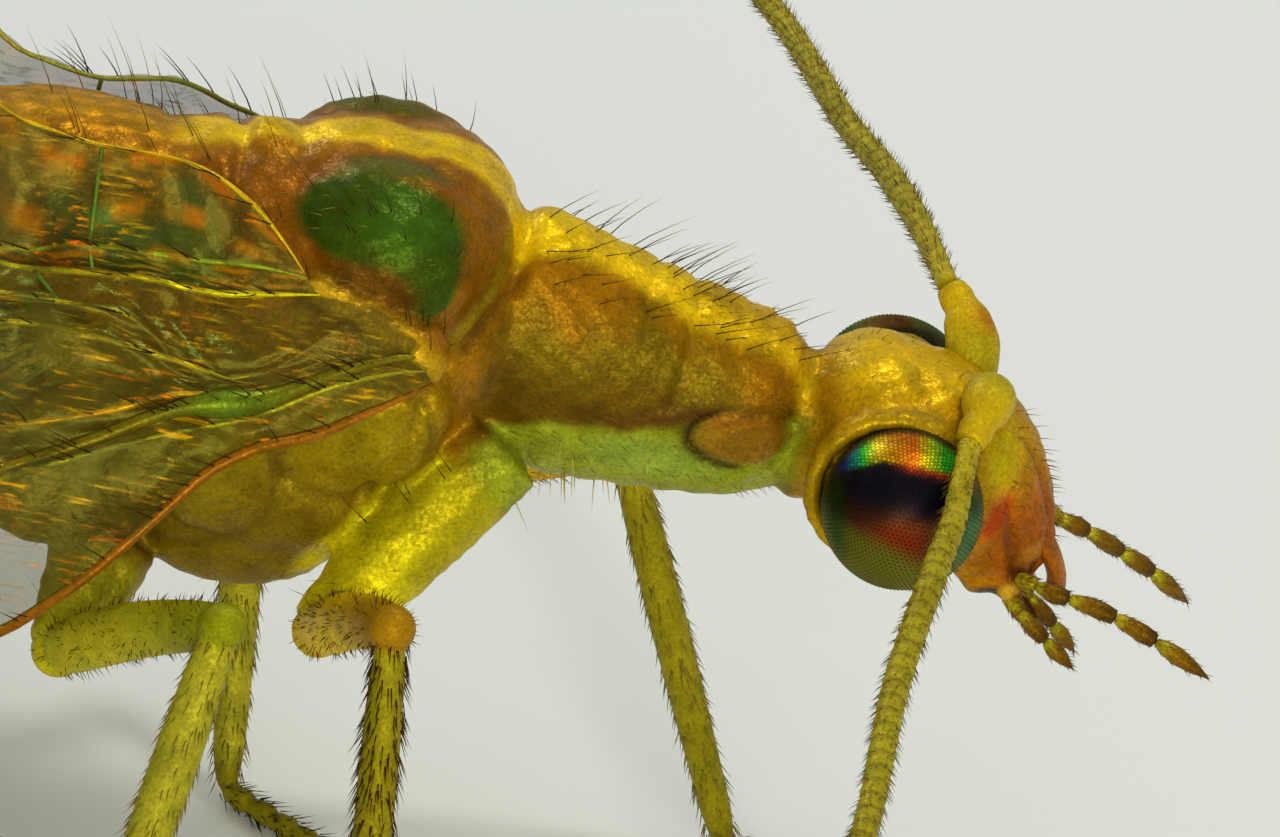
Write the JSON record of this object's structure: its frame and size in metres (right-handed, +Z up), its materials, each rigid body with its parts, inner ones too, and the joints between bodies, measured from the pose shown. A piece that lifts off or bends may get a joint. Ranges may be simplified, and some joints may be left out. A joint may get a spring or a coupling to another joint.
{
  "type": "green lacewing",
  "caption": "Still life-size green lacewing standing with its wings folded like a roof, long feelers spread to the sides.",
  "frame": {"origin": "on the floor, under the middle of the whole animal's box", "axes": "+X out of the head, +Y to the animal's left, +Z up"},
  "size_m": [0.0182, 0.015, 0.0052],
  "materials": {
    "abdomen": "gloss",
    "thorax": "gloss",
    "head": "gloss",
    "eye": "gloss",
    "mouth": "gloss",
    "palp": "gloss",
    "antenna": "gloss",
    "wing": "gloss",
    "leg": "gloss"
  },
  "bodies": {
    "root": {"abdomen_1": "abdomen", "abdomen_2": "abdomen", "abdomen_3": "abdomen", "abdomen_4": "abdomen", "abdomen_5": "abdomen", "abdomen_6": "abdomen", "abdomen_7": "abdomen", "abdomen_8": "abdomen", "antenna_base_left": "antenna", "antenna_base_right": "antenna", "eye_left": "eye", "eye_right": "eye", "flagellum_1_left": "antenna", "flagellum_1_right": "antenna", "flagellum_2_left": "antenna", "flagellum_2_right": "antenna", "flagellum_3_left": "antenna", "flagellum_3_right": "antenna", "forewing_left": "wing", "forewing_right": "wing", "head": "head", "hindwing_left": "wing", "hindwing_right": "wing", "labrum": "mouth", "leg_front_left_coxa": "leg", "leg_front_left_femur": "leg", "leg_front_left_tarsus": "leg", "leg_front_left_tibia": "leg", "leg_front_right_coxa": "leg", "leg_front_right_femur": "leg", "leg_front_right_tarsus": "leg", "leg_front_right_tibia": "leg", "leg_hind_left_coxa": "leg", "leg_hind_left_femur": "leg", "leg_hind_left_tarsus": "leg", "leg_hind_left_tibia": "leg", "leg_hind_right_coxa": "leg", "leg_hind_right_femur": "leg", "leg_hind_right_tarsus": "leg", "leg_hind_right_tibia": "leg", "leg_mid_left_coxa": "leg", "leg_mid_left_femur": "leg", "leg_mid_left_tarsus": "leg", "leg_mid_left_tibia": "leg", "leg_mid_right_coxa": "leg", "leg_mid_right_femur": "leg", "leg_mid_right_tarsus": "leg", "leg_mid_right_tibia": "leg", "mandible_left": "mouth", "mandible_right": "mouth", "mesothorax": "thorax", "metathorax": "thorax", "palp_labial_left": "palp", "palp_labial_right": "palp", "palp_maxillary_left": "palp", "palp_maxillary_right": "palp", "prothorax": "thorax"}
  },
  "joints": []
}
